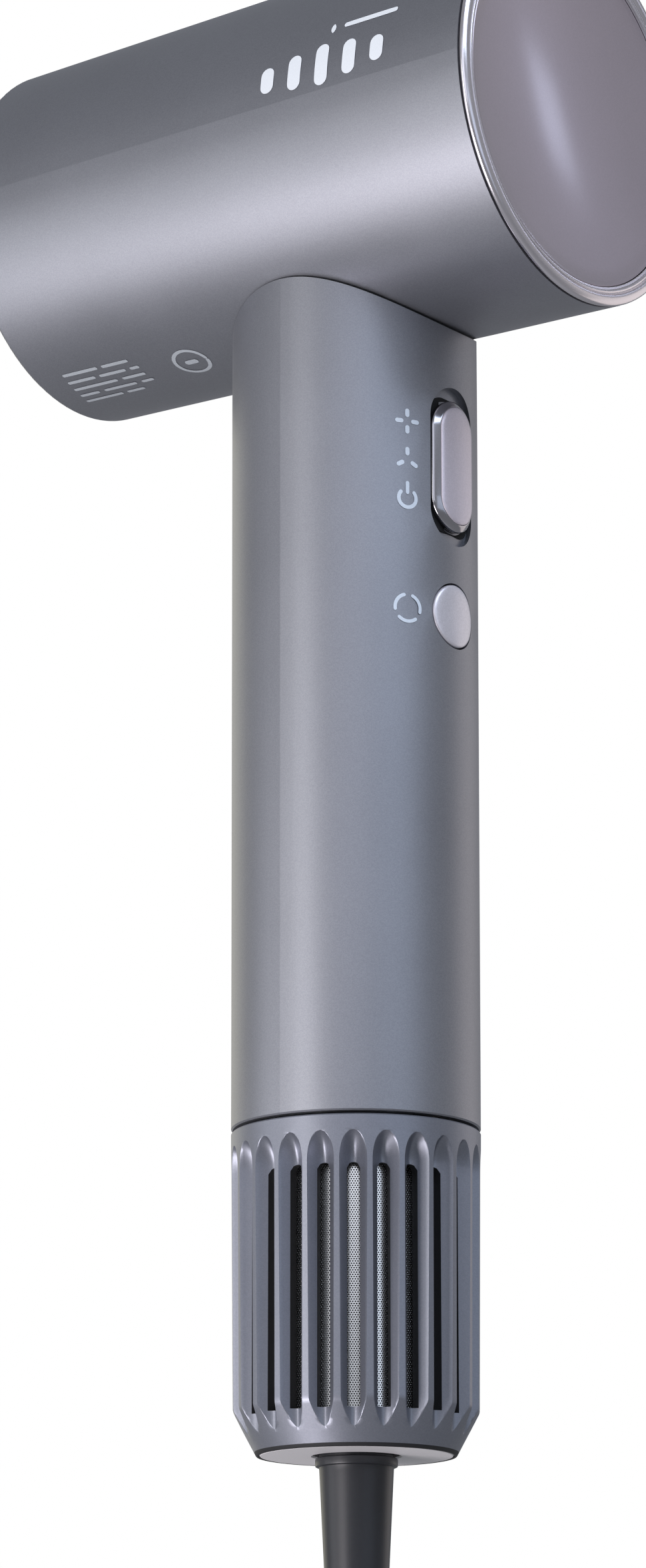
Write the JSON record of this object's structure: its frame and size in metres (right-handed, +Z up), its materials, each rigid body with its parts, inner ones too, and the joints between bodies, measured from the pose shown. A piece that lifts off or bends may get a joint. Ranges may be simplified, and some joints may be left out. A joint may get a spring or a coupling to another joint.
{
  "type": "hair dryer",
  "caption": "Handheld hair dryer: short barrel on a slim round handle with slider, push button, pull-down intake cage with mesh and a mains lead.",
  "frame": {"origin": "on the handle axis at the middle of the grip", "axes": "+Z up along the handle, -Y along the barrel out of the air outlet, +Y towards the rear cover and the controls"},
  "size_m": [0.0676, 0.1098, 0.5568],
  "materials": {
    "shell_satin": "satin metallic lacquer on moulded plastic",
    "trim_polished": "polished metallic trim",
    "cover_gloss": "glossy metallic lacquer",
    "outlet_black": "heat resistant black plastic",
    "grille_black": "glass filled black plastic",
    "gasket_rubber": "moulded rubber",
    "knob_gloss": "glossy moulded plastic",
    "knob_chrome": "bright plated edge",
    "button_satin": "satin moulded plastic",
    "inner_plastic": "plain moulded plastic",
    "cage_matte": "matte metallic plastic",
    "disc_pale": "pale satin plastic",
    "mesh_steel": "fine bright steel mesh",
    "magnet_nickel": "nickel plated magnet",
    "mica": "pressed mica",
    "heater_wire": "oxidised resistance wire",
    "board_green": "solder mask",
    "part_black": "moulded component",
    "heat_sink": "extruded aluminium",
    "screw_steel": "zinc plated",
    "motor_aluminium": "turned and anodised",
    "lamination": "laminated steel",
    "copper": "enamelled copper wire",
    "mount_rubber": "soft rubber",
    "wire_sleeve": "wire insulation",
    "relief_satin": "satin charcoal rubber",
    "cord_rubber": "satin charcoal sheath",
    "plug_black": "moulded on plug",
    "pin_brass": "nickel plated brass",
    "tie_fabric": "hook and loop strap"
  },
  "bodies": {
    "dryer_body": {"barrel_shell": "shell_satin", "bearing_bridge": "motor_aluminium", "board_screws": "screw_steel", "button_switch": "part_black", "capacitor": "part_black", "cord_clamp": "inner_plastic", "cord_hank": "cord_rubber", "cord_tail": "cord_rubber", "cord_tie": "tie_fabric", "core_magnets": "magnet_nickel", "handle_chassis": "inner_plastic", "handle_shell": "shell_satin", "heat_liner": "mica", "heat_triac": "heat_sink", "heater_coils": "heater_wire", "heater_plates": "mica", "intake_core": "inner_plastic", "ion_emitter": "part_black", "ion_module": "part_black", "lower_motor_mount": "mount_rubber", "main_board": "board_green", "mesh_filter": "mesh_steel", "motor_bearings": "screw_steel", "motor_board": "board_green", "motor_housing": "motor_aluminium", "neck_gasket": "gasket_rubber", "nozzle_magnets": "magnet_nickel", "outlet_bezel": "outlet_black", "outlet_grille": "grille_black", "plug_body": "plug_black", "plug_pins": "pin_brass", "power_cord": "cord_rubber", "power_wires": "wire_sleeve", "rear_bulkhead": "inner_plastic", "rear_cover": "cover_gloss", "rear_trim_ring": "trim_polished", "slide_switch": "part_black", "stator_core": "lamination", "stator_windings": "copper", "strain_relief": "relief_satin", "switch_board": "board_green", "thermal_fuse": "part_black", "thermostat": "part_black", "upper_motor_mount": "mount_rubber"},
    "speed_slider": {"slider_knob": "knob_gloss", "slider_trim": "knob_chrome", "slider_carriage": "inner_plastic"},
    "push_button": {"heat_button": "button_satin"},
    "rotor": {"rotor_shaft": "screw_steel", "rotor_magnet": "magnet_nickel", "impeller": "motor_aluminium"},
    "filter_cage": {"intake_cage": "cage_matte", "base_disc": "disc_pale", "cage_magnets": "magnet_nickel"}
  },
  "joints": [
    {"name": "speed_slide", "type": "slide", "parent": "dryer_body", "child": "speed_slider", "axis": [0, 0, 1], "range_m": [-0.0024, 0.0024]},
    {"name": "button_press", "type": "slide", "parent": "dryer_body", "child": "push_button", "axis": [0, -1, 0], "range_m": [0, 0.001], "stiffness_N_per_m": 300},
    {"name": "rotor_spin", "type": "hinge", "parent": "dryer_body", "child": "rotor", "pos_m": [0, 0, -0.03], "axis": [0, 0, 1], "continuous": true},
    {"name": "cage_pull", "type": "slide", "parent": "dryer_body", "child": "filter_cage", "axis": [0, 0, -1], "range_m": [0, 0.058]}
  ]
}
